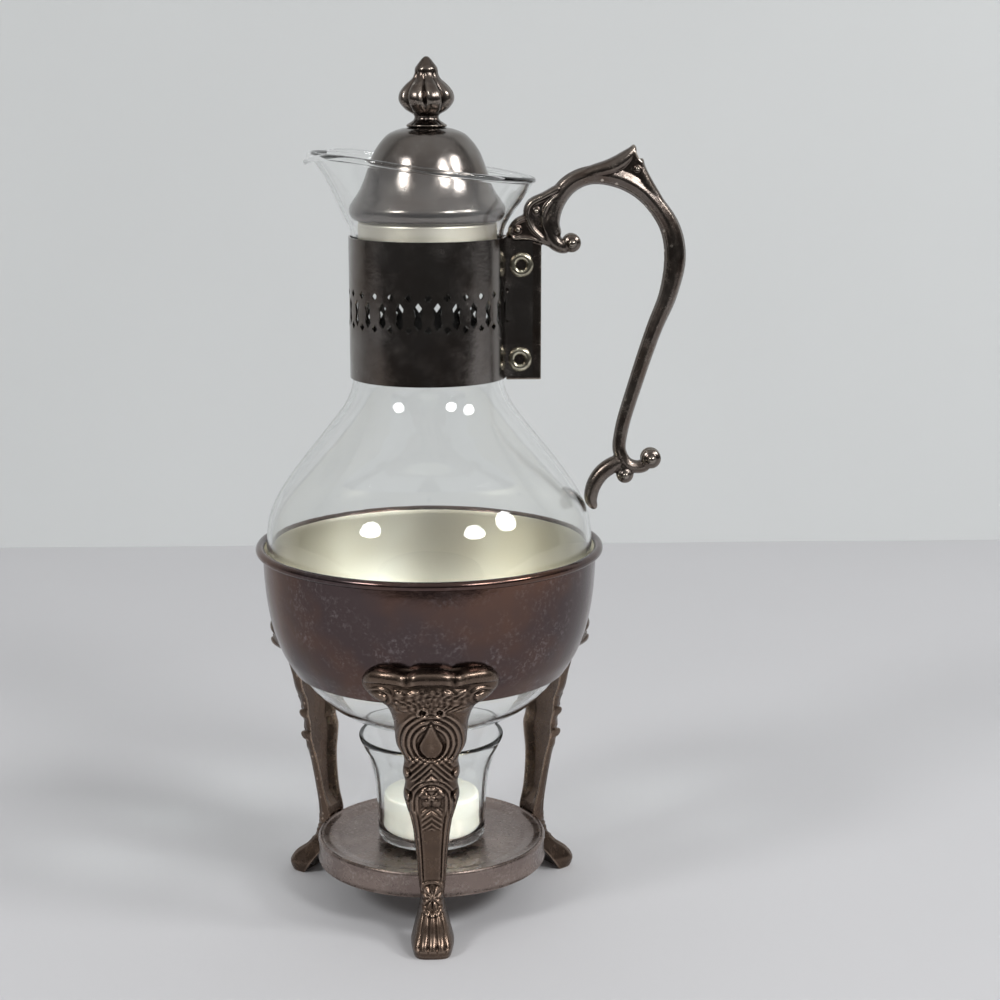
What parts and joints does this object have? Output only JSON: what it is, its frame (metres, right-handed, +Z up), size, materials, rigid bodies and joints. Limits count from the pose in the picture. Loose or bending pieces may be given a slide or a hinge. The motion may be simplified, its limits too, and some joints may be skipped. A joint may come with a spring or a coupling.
{
  "type": "coffee carafe with warmer",
  "caption": "Glass coffee carafe with a pierced metal neck band, scroll handle and lift-out lid, standing in a footed bowl over a candle burner.",
  "frame": {"origin": "on the carafe's axis, in the plane of the three foot soles", "axes": "+Z up along the carafe's axis, +X to the handle, -Y to the front leg"},
  "size_m": [0.1891, 0.154, 0.3773],
  "materials": {
    "clear_glass": "clear blown glass",
    "tarnished_sheet": "tarnished silver plate on spun sheet",
    "tarnished_casting": "tarnished silver plate on castings, dark in the hollows",
    "nickel": "nickel plate",
    "steel": "plain steel",
    "wax": "white candle wax",
    "cotton": "waxed cotton wick"
  },
  "bodies": {
    "stand": {"stand_bowl": "tarnished_sheet", "bowl_rivets": "nickel", "front_leg": "tarnished_casting", "right_leg": "tarnished_casting", "left_leg": "tarnished_casting", "burner_tray": "tarnished_sheet", "tray_screws": "steel"},
    "carafe": {"glass_body": "clear_glass", "glass_shoulder": "clear_glass", "glass_neck": "clear_glass", "glass_mouth": "clear_glass", "neck_band": "tarnished_sheet", "handle": "tarnished_casting", "upper_rivet": "nickel", "lower_rivet": "nickel"},
    "lid": {"lid_dome": "tarnished_sheet", "lid_skirt": "tarnished_sheet", "lid_finial": "tarnished_casting", "finial_washer": "steel", "finial_nut": "steel"},
    "cup": {"candle_cup": "clear_glass"},
    "candle": {"candle": "wax", "wick": "cotton", "wick_tab": "steel"}
  },
  "joints": [
    {"name": "carafe_lift", "type": "slide", "parent": "stand", "child": "carafe", "axis": [0, 0, 1], "range_m": [0, 0.2]},
    {"name": "lid_lift", "type": "slide", "parent": "carafe", "child": "lid", "axis": [0, 0, 1], "range_m": [0, 0.1]},
    {"name": "cup_slide", "type": "slide", "parent": "stand", "child": "cup", "axis": [0.8627, -0.4981, 0.0872], "range_m": [0, 0.13]},
    {"name": "candle_lift", "type": "slide", "parent": "cup", "child": "candle", "axis": [0, 0, 1], "range_m": [0, 0.022]}
  ]
}
